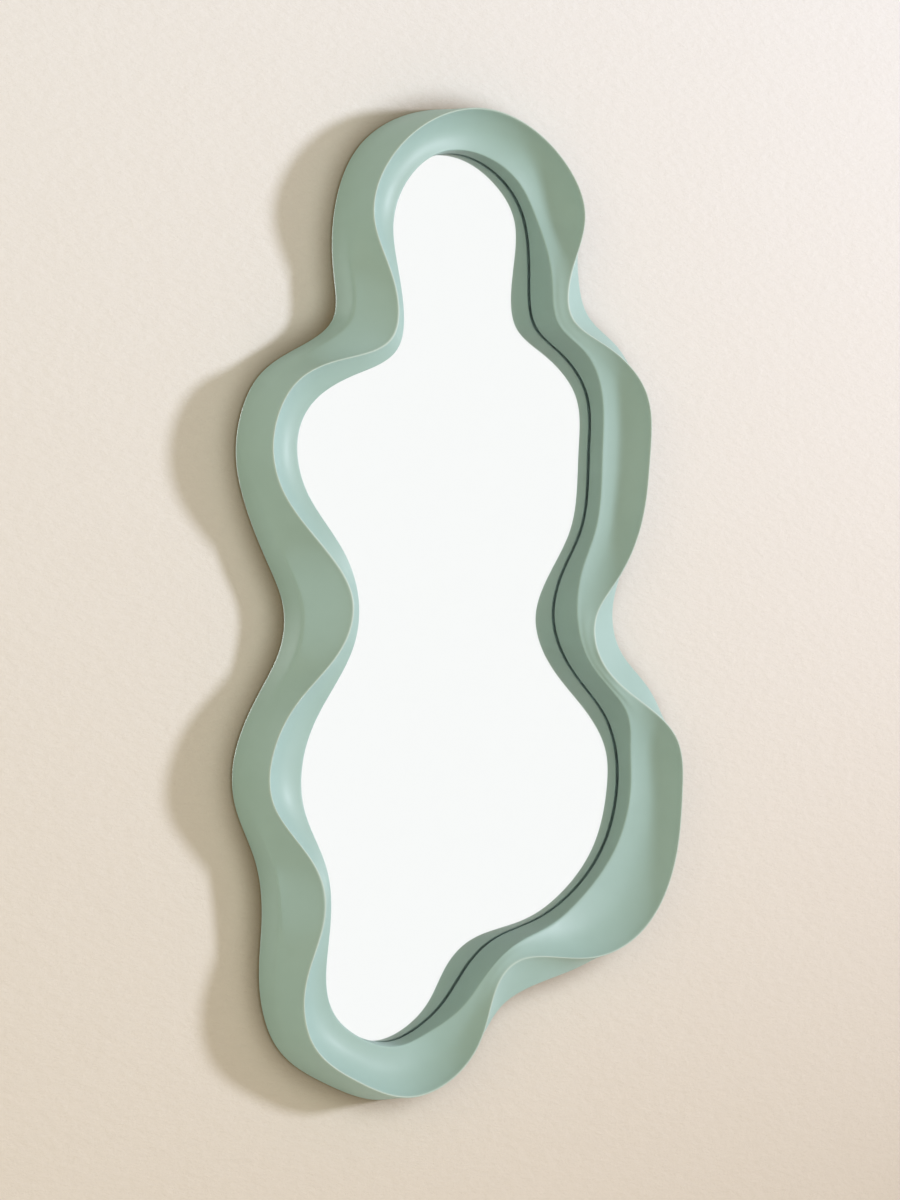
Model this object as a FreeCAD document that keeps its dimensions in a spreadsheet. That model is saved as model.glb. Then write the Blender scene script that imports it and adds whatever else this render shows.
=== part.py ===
import FreeCAD, Part
import os

# Wavy wall mirror. Lengths are in millimetres. The front faces -Y, the wall is the plane Y = 0,
# +X is to the right seen from the front and +Z is up. The origin is midway between the two
# hanging points, on the wall plane.

vec = FreeCAD.Vector
doc = FreeCAD.newDocument("wavy_mirror")

driving_sizes = (
    # whole outline
    ("overall_width", 394.0),
    ("overall_height", 758.0),
    # moulded frame
    ("frame_depth", 40.5),
    ("crest_flat", 1.4),
    ("lip_land", 1.0),
    ("back_round", 2.5),
    # glass, backing and board, stacked from the front
    ("glass_seat", 9.5),
    ("glass_thickness", 3.0),
    ("coat_thickness", 0.2),
    ("tape_thickness", 0.8),
    ("board_thickness", 3.0),
    ("glass_overlap", 5.0),
    ("board_overlap", 12.5),
    ("edge_clearance", 1.0),
    ("tape_length", 60.0),
    ("tape_width", 25.0),
    # pads on the back
    ("wall_pad_thickness", 1.5),
    ("wall_pad_diameter", 12.0),
    # screws
    ("screw_diameter", 3.0),
    ("pilot_clearance", 0.05),
    ("hole_clearance", 0.25),
    ("screw_tip", 2.0),
    ("board_screw_length", 10.0),
    ("board_head_diameter", 5.6),
    ("board_head_height", 1.6),
    ("board_screw_inset", 9.3),
    ("strap_screw_length", 8.0),
    ("strap_head_diameter", 5.6),
    ("strap_head_height", 1.6),
    # hangers
    ("strap_width", 7.0),
    ("strap_length", 26.0),
    ("strap_thickness", 1.2),
    ("strap_first_screw", 8.5),
    ("strap_screw_pitch", 11.0),
    ("ring_wire", 2.2),
    ("ring_width", 14.0),
    ("hinge_drop", 12.7),
    ("ring_corner", 2.4),
    ("ring_clearance", 0.06),
    ("recess_depth", 7.0),
    ("recess_width", 17.6),
    ("recess_corner", 5.0),
    ("recess_margin", 2.0),
    ("hook_room", 11.3),
    ("cut_overrun", 2.0),
)

# Where the outline's middle is from the origin, and a hanging point from the middle of the two,
# as shares of the overall width and height.
middle_x_share = 0.0133
middle_z_share = -0.372
hanger_x_share = 0.2335

# Stations round the ring, clockwise from the top: wall outline x and z and lip x and z, as
# shares of the overall width and height from the middle, then where the crest runs, as a
# share of the way from the wall outline to the lip.
station_shares = (
    (-0.005, 0.499, -0.009, 0.452, 0.13),
    (0.172, 0.466, 0.098, 0.428, 0.15),
    (0.252, 0.399, 0.148, 0.386, 0.16),
    (0.253, 0.338, 0.157, 0.330, 0.53),
    (0.277, 0.295, 0.169, 0.285, 0.66),
    (0.354, 0.265, 0.235, 0.256, 0.50),
    (0.411, 0.220, 0.296, 0.217, 0.24),
    (0.417, 0.152, 0.303, 0.156, 0.18),
    (0.398, 0.081, 0.286, 0.077, 0.21),
    (0.365, 0.021, 0.232, 0.022, 0.38),
    (0.337, -0.011, 0.216, -0.017, 0.60),
    (0.354, -0.049, 0.247, -0.062, 0.76),
    (0.431, -0.095, 0.336, -0.116, 0.56),
    (0.490, -0.143, 0.369, -0.155, 0.22),
    (0.499, -0.202, 0.373, -0.197, 0.17),
    (0.477, -0.279, 0.339, -0.257, 0.14),
    (0.405, -0.346, 0.260, -0.304, 0.14),
    (0.282, -0.383, 0.164, -0.331, 0.30),
    (0.153, -0.395, 0.065, -0.348, 0.69),
    (0.066, -0.414, 0.006, -0.373, 0.65),
    (0.018, -0.452, -0.044, -0.405, 0.39),
    (-0.063, -0.484, -0.110, -0.430, 0.18),
    (-0.165, -0.500, -0.171, -0.440, 0.17),
    (-0.297, -0.479, -0.250, -0.430, 0.20),
    (-0.409, -0.436, -0.313, -0.403, 0.24),
    (-0.444, -0.382, -0.335, -0.371, 0.37),
    (-0.440, -0.312, -0.338, -0.315, 0.74),
    (-0.455, -0.252, -0.346, -0.258, 0.66),
    (-0.497, -0.198, -0.378, -0.203, 0.26),
    (-0.498, -0.151, -0.379, -0.155, 0.21),
    (-0.450, -0.094, -0.338, -0.102, 0.31),
    (-0.398, -0.043, -0.284, -0.042, 0.69),
    (-0.394, -0.006, -0.277, 0.001, 0.80),
    (-0.426, 0.035, -0.305, 0.047, 0.64),
    (-0.481, 0.102, -0.378, 0.109, 0.31),
    (-0.494, 0.155, -0.392, 0.158, 0.24),
    (-0.455, 0.213, -0.352, 0.196, 0.30),
    (-0.371, 0.246, -0.272, 0.220, 0.47),
    (-0.287, 0.277, -0.186, 0.250, 0.72),
    (-0.282, 0.317, -0.182, 0.307, 0.75),
    (-0.285, 0.373, -0.186, 0.370, 0.33),
    (-0.229, 0.451, -0.140, 0.424, 0.30),
)

# Two master sections, one for a lobe and one for a waist. Each pole is a share of the way to
# the crest or from it, and a share of the height. The outer side starts at the wall outline, and
# a pole further in rounds the back's edge. The crest's own poles stand a little over the depth,
# because the skin runs just under them.
outer_lobe_shares = ((0.0, 0.0), (0.04, 0.06), (0.26, 0.25), (0.45, 0.42), (0.66, 0.61), (0.94, 0.91))
outer_waist_shares = ((0.0, 0.0), (0.01, 0.06), (0.045, 0.44), (0.065, 0.60), (0.18, 0.66), (0.95, 0.965))
inner_lobe_shares = ((0.05, 0.90), (0.22, 0.70), (0.48, 0.51), (0.84, 0.46), (0.95, 0.46), (0.972, 0.22),
                     (1.0, 0.0))
inner_waist_shares = ((0.06, 0.99), (0.25, 0.95), (0.48, 0.92), (0.70, 0.875), (0.83, 0.865), (0.89, 0.45),
                      (1.0, 0.0))
lobe_crest_share = 0.18
waist_crest_share = 0.56
crest_lift_share = 1.003

# Places along the ring, as shares of its length from the top, going clockwise. The pads sit
# a share of the way in from the wall outline.
board_screw_shares = (0.02, 0.10, 0.19, 0.28, 0.36, 0.45, 0.53, 0.60, 0.68, 0.76, 0.85, 0.93)
wall_pad_shares = {"top_right": 0.06, "bottom_right": 0.40, "bottom_left": 0.57, "top_left": 0.955}
wall_pad_inset_share = 0.35
outline_steps = 64

# Middles of the tape strips, as shares of the overall width and height from the middle.
tape_shares = ((0.0, 0.36), (-0.02, 0.15), (-0.02, -0.02), (0.02, -0.20), (-0.14, -0.36))

# A screw's point and its head's bevel, as shares of its radius and of its head's height.
screw_point_share = 0.25
head_bevel_share = 0.6

side_names = {-1: "left", 1: "right"}


def makeSheet():
    sheet = doc.addObject("Spreadsheet::Sheet", "sizes")
    for row, (name, value) in enumerate(driving_sizes, start=1):
        sheet.set("A%d" % row, name)
        sheet.set("B%d" % row, str(value))
        sheet.setAlias("B%d" % row, name)
    doc.recompute()
    return sheet


sheet = makeSheet()


def size(name):
    return float(sheet.get(name))


def bind(obj, expressions):
    for path, expression in expressions.items():
        obj.setExpression(path, expression)


def placePoint(shares):
    x = size("overall_width") * (middle_x_share + shares[0])
    z = size("overall_height") * (middle_z_share + shares[1])
    return vec(x, 0, z)


def blend(lobe, waist, pinch):
    return lobe + (waist - lobe) * pinch


def sectionPoles(wall, lip, crest_share):
    """Poles of one section as places from wall to lip, with the height taken along -Y."""
    reach = (lip - wall).Length
    half_flat = size("crest_flat") / 2 / reach
    depth = size("frame_depth")
    lip_edge = size("glass_seat") + size("lip_land")
    pinch = min(1.0, (crest_share - lobe_crest_share) / (waist_crest_share - lobe_crest_share))
    places = [(size("back_round") / reach, 0)]
    for lobe, waist in zip(outer_lobe_shares, outer_waist_shares):
        along = blend(lobe[0], waist[0], pinch) * (crest_share - half_flat)
        places.append((along, blend(lobe[1], waist[1], pinch) * depth))
    for along in (crest_share - half_flat, crest_share + half_flat):
        places.append((along, crest_lift_share * depth))
    start = crest_share + half_flat
    for lobe, waist in zip(inner_lobe_shares, inner_waist_shares):
        along = start + (1 - start) * blend(lobe[0], waist[0], pinch)
        places.append((along, lip_edge + blend(lobe[1], waist[1], pinch) * (depth - lip_edge)))
    return [wall + (lip - wall) * along + vec(0, -height, 0) for along, height in places]


def closedCurve(points, parameters):
    curve = Part.BSplineCurve()
    curve.interpolate(Points=points, Parameters=parameters, PeriodicFlag=True)
    return curve


def ringRails():
    """One closed curve for each pole of the section, all on the same parameters."""
    walls = [placePoint(row[0:2]) for row in station_shares]
    lips = [placePoint(row[2:4]) for row in station_shares]
    middles = [(wall + lip) * 0.5 for wall, lip in zip(walls, lips)]
    parameters = [0.0]
    for here, there in zip(middles, middles[1:] + middles[:1]):
        parameters.append(parameters[-1] + (there - here).Length)
    sections = [sectionPoles(wall, lip, row[4]) for wall, lip, row in zip(walls, lips, station_shares)]
    return [closedCurve(list(points), parameters) for points in zip(*sections)]


rails = ringRails()
wall_rail = rails[0]
lip_rail = rails[-1]


def ringSkin():
    """The moulded face from the wall outline over the crest to the lip."""
    degree = 3
    spans = len(rails) - degree
    knots = [step / spans for step in range(spans + 1)]
    mults = [degree + 1] + [1] * (spans - 1) + [degree + 1]
    first = rails[0]
    poles = [list(column) for column in zip(*[rail.getPoles() for rail in rails])]
    skin = Part.BSplineSurface()
    skin.buildFromPolesMultsKnots(
        poles, first.getMultiplicities(), mults, first.getKnots(), knots, True, False, first.Degree, degree)
    return skin.toShape()


def outlineBeyondLip(offset):
    """A closed outline on the plane Y = 0 that runs the offset outside the lip."""
    first, last = lip_rail.FirstParameter, lip_rail.LastParameter
    parameters = [first + (last - first) * step / outline_steps for step in range(outline_steps + 1)]
    points = []
    for parameter in parameters[:-1]:
        point = lip_rail.value(parameter)
        tangent = lip_rail.tangent(parameter)[0]
        outward = vec(-tangent.z, 0, tangent.x).normalize()
        points.append(vec(point.x, 0, point.z) + outward * offset)
    return Part.Wire([closedCurve(points, parameters).toShape()])


def ringBlank():
    """The solid ring before its back is cut: skin, inner wall and flat back."""
    rise = size("glass_seat") + size("lip_land")
    lip_edge = lip_rail.toShape()
    inner_wall = lip_edge.extrude(vec(0, rise, 0))
    back_lip = lip_edge.translated(vec(0, rise, 0))
    wires = [Part.Wire([wall_rail.toShape()]), Part.Wire([back_lip])]
    back = Part.makeFace(wires, "Part::FaceMakerBullseye")
    shell = Part.makeShell([ringSkin(), inner_wall, back])
    shell.sewShape()
    solid = Part.makeSolid(shell)
    if solid.Volume < 0:
        solid.reverse()
    return solid


def ringPoint(share, offset):
    """A place on the plane Y = 0, the offset outside the lip, at a share of the ring's length."""
    first, last = lip_rail.FirstParameter, lip_rail.LastParameter
    parameter = first + (last - first) * share
    point = lip_rail.value(parameter)
    tangent = lip_rail.tangent(parameter)[0]
    return vec(point.x, 0, point.z) + vec(-tangent.z, 0, tangent.x).normalize() * offset


def rimPoint(share, along):
    """A place on the plane Y = 0 between the wall outline and the lip."""
    first, last = lip_rail.FirstParameter, lip_rail.LastParameter
    parameter = first + (last - first) * share
    wall, lip = wall_rail.value(parameter), lip_rail.value(parameter)
    return vec(wall.x, 0, wall.z) * (1 - along) + vec(lip.x, 0, lip.z) * along


# Depths from the wall, as expressions on the sheet.
frame_back = "-sizes.wall_pad_thickness"
glass_front = frame_back + " - sizes.glass_seat"
coat_front = glass_front + " + sizes.glass_thickness"
tape_front = coat_front + " + sizes.coat_thickness"
board_front = tape_front + " + sizes.tape_thickness"
board_back = board_front + " + sizes.board_thickness"
recess_floor = frame_back + " - sizes.recess_depth"
eye_depth = recess_floor + " + sizes.strap_thickness + sizes.ring_clearance + sizes.ring_wire / 2"
hinge_height = "-sizes.hinge_drop"

upright = FreeCAD.Rotation()
across = FreeCAD.Rotation(vec(0, 1, 0), 90)
towards_wall = FreeCAD.Rotation(vec(1, 0, 0), -90)
towards_front = FreeCAD.Rotation(vec(1, 0, 0), 90)


def hangerX(side):
    """Where a hanger's middle is from side to side, as an expression."""
    return "sizes.overall_width * %g" % (side * hanger_x_share)


def addPlate(name, outline, thickness, front):
    """A flat plate with the outline, from its front expression towards the wall."""
    plate = doc.addObject("Part::Extrusion", name)
    plate.Base = outline
    plate.DirMode = "Custom"
    plate.Dir = vec(0, 1, 0)
    plate.Solid = True
    bind(plate, {"LengthFwd": thickness, "Placement.Base.y": front})
    return plate


def addOutline(name, offset):
    outline = doc.addObject("Part::Feature", name)
    outline.Shape = outlineBeyondLip(offset)
    return outline


def addSolid(kind, name, lengths, place, turn=upright):
    """A primitive with its lengths and its place as expressions, turned about its own origin."""
    solid = doc.addObject("Part::" + kind, name)
    solid.Placement.Rotation = turn
    bind(solid, lengths)
    bind(solid, dict(zip(("Placement.Base.x", "Placement.Base.y", "Placement.Base.z"), place)))
    return solid


def addCylinder(name, radius, length, place, turn=towards_wall):
    return addSolid("Cylinder", name, {"Radius": radius, "Height": length}, place, turn)


def addBox(name, lengths, corner):
    return addSolid("Box", name, dict(zip(("Length", "Width", "Height"), lengths)), corner)


def addFuse(name, pieces):
    fuse = doc.addObject("Part::MultiFuse", name)
    fuse.Shapes = pieces
    return fuse


def addCut(name, base, tool):
    cut = doc.addObject("Part::Cut", name)
    cut.Base, cut.Tool = base, tool
    return cut


def addGroup(name, pieces):
    group = doc.addObject("Part::Compound", name)
    group.Links = pieces
    return group


def addScrew(name, x, z, size_name, seat):
    """A pan head screw whose head rests on the seat expression and whose tip points to the front."""
    length = "sizes.%s_screw_length" % size_name
    head_height = "sizes.%s_head_height" % size_name
    shank = addCylinder(name + "_shank", "sizes.screw_diameter / 2", length + " - sizes.screw_tip",
                        (x, seat + " - " + length + " + sizes.screw_tip", z))
    tip = addSolid("Cone", name + "_tip",
                   {"Radius1": "sizes.screw_diameter / 2 * %g" % screw_point_share,
                    "Radius2": "sizes.screw_diameter / 2", "Height": "sizes.screw_tip"},
                   (x, seat + " - " + length, z), towards_wall)
    disc = addCylinder(name + "_disc", "sizes.%s_head_diameter / 2" % size_name, head_height, (x, seat, z))
    doc.recompute()
    head = doc.addObject("Part::Chamfer", name + "_head")
    head.Base = disc
    rim = next(number for number, edge in enumerate(disc.Shape.Edges, start=1)
               if edge.Closed and edge.BoundBox.YMin > disc.Placement.Base.y)
    bevel = disc.Height.Value * head_bevel_share
    head.Edges = [(rim, bevel, bevel)]
    return addFuse(name, [shank, tip, head])


def boardScrewPlaces():
    points = [ringPoint(share, size("board_screw_inset")) for share in board_screw_shares]
    return [("%r" % point.x, "%r" % point.z) for point in points]


def strapScrewPlaces(side):
    first = hinge_height + " - sizes.strap_first_screw"
    return [(hangerX(side), first), (hangerX(side), first + " - sizes.strap_screw_pitch")]


def addHangerRecess(side):
    """A round cornered pocket for one hanger, with room for the wall hook above its ring."""
    name = "recess_" + side_names[side]
    box = addBox(
        name + "_box",
        ("sizes.recess_width", "sizes.recess_depth + sizes.cut_overrun",
         "sizes.recess_margin + sizes.strap_length + sizes.hinge_drop + sizes.hook_room"),
        (hangerX(side) + " - sizes.recess_width / 2", recess_floor,
         hinge_height + " - sizes.strap_length - sizes.recess_margin"))
    doc.recompute()
    recess = doc.addObject("Part::Fillet", name)
    recess.Base = box
    corner = size("recess_corner")
    recess.Edges = [(number, corner, corner) for number, edge in enumerate(box.Shape.Edges, start=1)
                    if abs(edge.tangentAt(edge.FirstParameter).y) > 0.5]
    return recess


def addPilots(name, places, length, seat):
    """Screw holes in the frame, from the seat expression as deep as the screw reaches."""
    depth = length + " + sizes.pilot_clearance"
    return [addCylinder("%s_%d" % (name, number), "sizes.screw_diameter / 2 + sizes.pilot_clearance",
                        depth, (x, seat + " - (" + depth + ")", z))
            for number, (x, z) in enumerate(places, start=1)]


def addHoles(name, places, thickness, front):
    """Clearance holes for screws through a plate that starts at the front expression."""
    return [addCylinder("%s_%d" % (name, number), "sizes.screw_diameter / 2 + sizes.hole_clearance",
                        thickness + " + 2 * sizes.cut_overrun", (x, front + " - sizes.cut_overrun", z))
            for number, (x, z) in enumerate(places, start=1)]


def addFrame():
    """The moulded ring with its glass rebate, board rebate, hanger recesses and screw holes."""
    blank = doc.addObject("Part::Feature", "ring_blank")
    blank.Shape = ringBlank()
    bind(blank, {"Placement.Base.y": frame_back})
    glass_rebate = addPlate(
        "glass_rebate", addOutline("glass_rebate_outline", size("glass_overlap") + size("edge_clearance")),
        "sizes.glass_seat + sizes.cut_overrun", glass_front)
    board_rebate = addPlate(
        "board_rebate", addOutline("board_rebate_outline", size("board_overlap") + size("edge_clearance")),
        frame_back + " + sizes.cut_overrun - (" + board_front + ")", board_front)
    tools = [glass_rebate, board_rebate]
    tools += addPilots("board_pilot", boardScrewPlaces(), "sizes.board_screw_length", board_back)
    for side in side_names:
        tools.append(addHangerRecess(side))
        tools += addPilots("strap_pilot_" + side_names[side], strapScrewPlaces(side),
                           "sizes.strap_screw_length", recess_floor + " + sizes.strap_thickness")
    return addCut("frame", blank, addFuse("frame_cuts", tools))


def addBoard():
    """The back board, with a clearance hole for each of its screws."""
    board = addPlate("board_blank", addOutline("board_outline", size("board_overlap")),
                     "sizes.board_thickness", board_front)
    holes = addHoles("board_hole", boardScrewPlaces(), "sizes.board_thickness", board_front)
    return addCut("back_board", board, addFuse("board_holes", holes))


def addTape():
    """Strips of foam tape between the coated glass and the board."""
    strips = []
    for number, (across_share, up_share) in enumerate(tape_shares, start=1):
        x = "sizes.overall_width * %g - sizes.tape_length / 2" % (middle_x_share + across_share)
        z = "sizes.overall_height * %g - sizes.tape_width / 2" % (middle_z_share + up_share)
        strips.append(addBox("foam_tape_%d" % number,
                             ("sizes.tape_length", "sizes.tape_thickness", "sizes.tape_width"),
                             (x, tape_front, z)))
    return strips


def addStrap(side):
    """A pressed steel strap: a plate with two screw holes, curled round the ring's bar at its top."""
    name = "hanger_strap_" + side_names[side]
    left = hangerX(side) + " - sizes.strap_width / 2"
    bore = "sizes.ring_wire / 2 + sizes.ring_clearance"
    beyond = left + " - sizes.cut_overrun"
    long = "sizes.strap_width + 2 * sizes.cut_overrun"
    plate = addBox(name + "_plate", ("sizes.strap_width", "sizes.strap_thickness", "sizes.strap_length"),
                   (left, recess_floor, hinge_height + " - sizes.strap_length"))
    curl = addCylinder(name + "_curl", bore + " + sizes.strap_thickness", "sizes.strap_width",
                       (left, eye_depth, hinge_height), across)
    hole = addCylinder(name + "_bore", bore, long, (beyond, eye_depth, hinge_height), across)
    # the curl stays open below, where the plate's end was bent over
    gap = addBox(name + "_gap", (long, bore, "2 * sizes.strap_thickness"),
                 (beyond, recess_floor + " + sizes.strap_thickness",
                  hinge_height + " - " + bore + " - 2 * sizes.strap_thickness"))
    screw_holes = addHoles(name + "_hole", strapScrewPlaces(side), "sizes.strap_thickness", recess_floor)
    return addCut(name, addFuse(name + "_body", [plate, curl]),
                  addFuse(name + "_cuts", [hole, gap] + screw_holes))


def addRing(side):
    """A wire ring that swings in its strap: a straight bar, round corners, legs and an arch on top."""
    name = "hanger_ring_" + side_names[side]
    wire = "sizes.ring_wire / 2"
    half = "(sizes.ring_width - sizes.ring_wire) / 2"
    corner = "sizes.ring_corner"
    inner = "(" + half + " - " + corner + ")"
    shoulder = "(sizes.hinge_drop + " + wire + " - " + half + ")"
    bar_place = (hangerX(side) + " - " + inner, eye_depth, hinge_height)
    pieces = [addCylinder(name + "_bar", wire, "2 * " + inner, bar_place, across)]
    for leg in side_names:
        sideways = hangerX(side) + " + %d * " % leg
        start = FreeCAD.Rotation(vec(0, 0, 1), -90 if leg > 0 else 180)
        pieces.append(addCylinder(
            "%s_leg_%s" % (name, side_names[leg]), wire, shoulder + " - " + corner,
            (sideways + half, eye_depth, hinge_height + " + " + corner), upright))
        pieces.append(addSolid(
            "Torus", "%s_corner_%s" % (name, side_names[leg]),
            {"Radius1": corner, "Radius2": wire, "Angle3": "90"},
            (sideways + inner, eye_depth, hinge_height + " + " + corner), towards_front * start))
    pieces.append(addSolid(
        "Torus", name + "_arch", {"Radius1": half, "Radius2": wire, "Angle3": "180"},
        (hangerX(side), eye_depth, hinge_height + " + " + shoulder), towards_front))
    return addFuse(name, pieces)


def addScrews(name, places, size_name, seat):
    """One group of like screws."""
    return addGroup(name, [addScrew("%s_%d" % (name, number), x, z, size_name, seat)
                           for number, (x, z) in enumerate(places, start=1)])


def addWallPads():
    """Soft round pads between the frame's flat back and the wall."""
    pads = []
    for corner_name, share in wall_pad_shares.items():
        point = rimPoint(share, wall_pad_inset_share)
        pads.append(addCylinder(
            "wall_pad_" + corner_name, "sizes.wall_pad_diameter / 2", "sizes.wall_pad_thickness",
            ("%r" % point.x, frame_back, "%r" % point.z)))
    return pads


glass_outline = addOutline("glass_outline", size("glass_overlap"))
parts = [
    addFrame(),
    addPlate("mirror_glass", glass_outline, "sizes.glass_thickness", glass_front),
    addPlate("silver_coat", glass_outline, "sizes.coat_thickness", coat_front),
    addBoard(),
    addScrews("board_screws", boardScrewPlaces(), "board", board_back),
]
parts += addTape()
parts += addWallPads()
for side in side_names:
    parts += [addStrap(side), addRing(side),
              addScrews("hanger_screws_" + side_names[side], strapScrewPlaces(side), "strap",
                        recess_floor + " + sizes.strap_thickness")]

doc.recompute()
for obj in doc.Objects:
    if "Invalid" in obj.State or "Error" in obj.State:
        raise RuntimeError("%s did not compute: %s" % (obj.Label, obj.State))

os.makedirs("parts", exist_ok=True)
for part in parts:
    if part.Shape.isNull() or not part.Shape.isValid():
        raise RuntimeError("%s has no valid shape" % part.Label)
    part.Label = part.Name
    part.Shape.exportStep("parts/%s.step" % part.Label)
    print("%-22s solids %2d  volume %.1f" % (part.Label, len(part.Shape.Solids), part.Shape.Volume))
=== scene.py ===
import math

import bmesh
import bpy
import numpy as np
from mathutils import Matrix, Vector


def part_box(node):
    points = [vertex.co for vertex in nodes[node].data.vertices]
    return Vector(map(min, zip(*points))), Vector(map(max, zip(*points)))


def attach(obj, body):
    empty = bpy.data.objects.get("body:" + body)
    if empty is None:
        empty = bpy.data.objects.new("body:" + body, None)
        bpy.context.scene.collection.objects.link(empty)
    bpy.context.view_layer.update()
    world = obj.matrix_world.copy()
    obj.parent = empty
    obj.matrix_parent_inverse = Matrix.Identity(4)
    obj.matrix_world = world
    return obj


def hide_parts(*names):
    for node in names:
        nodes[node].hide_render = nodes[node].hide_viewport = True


# Wavy wall mirror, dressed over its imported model. Metres, front towards -Y, wall at Y = 0.

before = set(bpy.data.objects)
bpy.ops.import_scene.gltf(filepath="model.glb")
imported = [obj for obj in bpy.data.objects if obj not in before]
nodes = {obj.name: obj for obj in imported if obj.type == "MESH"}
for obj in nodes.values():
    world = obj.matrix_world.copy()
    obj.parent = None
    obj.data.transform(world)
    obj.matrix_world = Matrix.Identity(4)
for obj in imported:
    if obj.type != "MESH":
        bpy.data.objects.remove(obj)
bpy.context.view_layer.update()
print("model loaded:", len(nodes), "nodes")


# Camera

viewPoint = {"azimuth": -33, "distance": 2.186, "aim": (-0.00026, 0, -0.2817), "lens": 85, "sensor": 36}


def addCamera():
    turn = math.radians(-viewPoint["azimuth"])
    ahead = Vector((math.sin(turn), math.cos(turn), 0))
    camera = bpy.data.objects.new("camera", bpy.data.cameras.new("camera"))
    camera.data.lens = viewPoint["lens"]
    camera.data.sensor_width = viewPoint["sensor"]
    camera.location = Vector(viewPoint["aim"]) - ahead * viewPoint["distance"]
    camera.rotation_euler = (math.pi / 2, 0, -turn)
    bpy.context.scene.collection.objects.link(camera)
    bpy.context.scene.camera = camera


addCamera()
print("camera placed")


# Node helpers

def newMaterial(name):
    material = bpy.data.materials.new(name)
    material.use_nodes = True
    tree = material.node_tree
    shader = tree.nodes["Principled BSDF"]
    return material, tree, shader


def addNode(tree, kind, **settings):
    node = tree.nodes.new(kind)
    for name, value in settings.items():
        setattr(node, name, value)
    return node


def objectCoordinates(tree, scale=(1, 1, 1), turn=(0, 0, 0)):
    place = addNode(tree, "ShaderNodeTexCoord")
    mapping = addNode(tree, "ShaderNodeMapping")
    mapping.inputs["Scale"].default_value = scale
    mapping.inputs["Rotation"].default_value = turn
    tree.links.new(place.outputs["Object"], mapping.inputs["Vector"])
    return mapping.outputs["Vector"]


def addNoise(tree, vector, scale, detail=3.0, roughness=0.5):
    noise = addNode(tree, "ShaderNodeTexNoise")
    noise.inputs["Scale"].default_value = scale
    noise.inputs["Detail"].default_value = detail
    noise.inputs["Roughness"].default_value = roughness
    tree.links.new(vector, noise.inputs["Vector"])
    return noise.outputs["Fac"]


def addRange(tree, value, low, high, newLow, newHigh):
    remap = addNode(tree, "ShaderNodeMapRange")
    for socket, number in zip(("From Min", "From Max", "To Min", "To Max"), (low, high, newLow, newHigh)):
        remap.inputs[socket].default_value = number
    tree.links.new(value, remap.inputs["Value"])
    return remap.outputs["Result"]


def addMath(tree, operation, first, second):
    node = addNode(tree, "ShaderNodeMath", operation=operation)
    for socket, value in zip(node.inputs, (first, second)):
        if isinstance(value, (int, float)):
            socket.default_value = value
        else:
            tree.links.new(value, socket)
    return node.outputs["Value"]


def addMix(tree, factor, first, second):
    mix = addNode(tree, "ShaderNodeMix", data_type="RGBA")
    tree.links.new(factor, mix.inputs["Factor"])
    for name, value in (("A", first), ("B", second)):
        socket = next(s for s in mix.inputs if s.name == name and s.type == "RGBA")
        if isinstance(value, tuple):
            socket.default_value = (*value, 1)
        else:
            tree.links.new(value, socket)
    return next(s for s in mix.outputs if s.type == "RGBA")


def addBump(tree, shader, height, strength, distance):
    bump = addNode(tree, "ShaderNodeBump")
    bump.inputs["Strength"].default_value = strength
    bump.inputs["Distance"].default_value = distance
    tree.links.new(height, bump.inputs["Height"])
    tree.links.new(bump.outputs["Normal"], shader.inputs["Normal"])


# Shared effect: cloudy variation from broad and fine noise, in every finish but glass and foam

def makeCloudGroup():
    group = bpy.data.node_groups.new("cloudyVariation", "ShaderNodeTree")
    group.interface.new_socket(name="Vector", in_out="INPUT", socket_type="NodeSocketVector")
    for name, value in (("Broad Scale", 6.0), ("Fine Scale", 90.0), ("Fine Share", 0.35)):
        socket = group.interface.new_socket(name=name, in_out="INPUT", socket_type="NodeSocketFloat")
        socket.default_value = value
    group.interface.new_socket(name="Mask", in_out="OUTPUT", socket_type="NodeSocketFloat")
    start = addNode(group, "NodeGroupInput")
    end = addNode(group, "NodeGroupOutput")
    broad = addNode(group, "ShaderNodeTexNoise")
    fine = addNode(group, "ShaderNodeTexNoise")
    broad.inputs["Detail"].default_value = 4
    fine.inputs["Detail"].default_value = 5
    for noise, scale in ((broad, "Broad Scale"), (fine, "Fine Scale")):
        group.links.new(start.outputs["Vector"], noise.inputs["Vector"])
        group.links.new(start.outputs[scale], noise.inputs["Scale"])
    mix = addNode(group, "ShaderNodeMix", data_type="FLOAT")
    group.links.new(start.outputs["Fine Share"], mix.inputs["Factor"])
    group.links.new(broad.outputs["Fac"], mix.inputs["A"])
    group.links.new(fine.outputs["Fac"], mix.inputs["B"])
    group.links.new(mix.outputs["Result"], end.inputs["Mask"])
    return group


cloudGroup = makeCloudGroup()


def addCloud(tree, vector, broadScale, fineScale, fineShare):
    node = addNode(tree, "ShaderNodeGroup", node_tree=cloudGroup)
    node.inputs["Broad Scale"].default_value = broadScale
    node.inputs["Fine Scale"].default_value = fineScale
    node.inputs["Fine Share"].default_value = fineShare
    tree.links.new(vector, node.inputs["Vector"])
    return node.outputs["Mask"]


# Materials

framePaint = {
    "color": (0.357, 0.530, 0.495),
    "darker": (0.343, 0.512, 0.475),
    "paler": (0.372, 0.548, 0.515),
    "cloud": (5, 60, 0.3),
    "roughness": 0.48, "roughnessFall": 0.04, "roughnessRise": 0.05, "sheenScale": 22,
    "specular": 0.3,
    "coat": 0.03, "coatRoughness": 0.27,
    # the painted highlight along the crest: its colour, strength and width
    "crestHighlightColor": (0.58, 0.70, 0.64), "crestHighlightShare": 0.7, "crestHighlightWidth": 0.0009,
    "peelScale": 420, "peelStrength": 0.35, "peelDepth": 0.00004,
}


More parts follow.
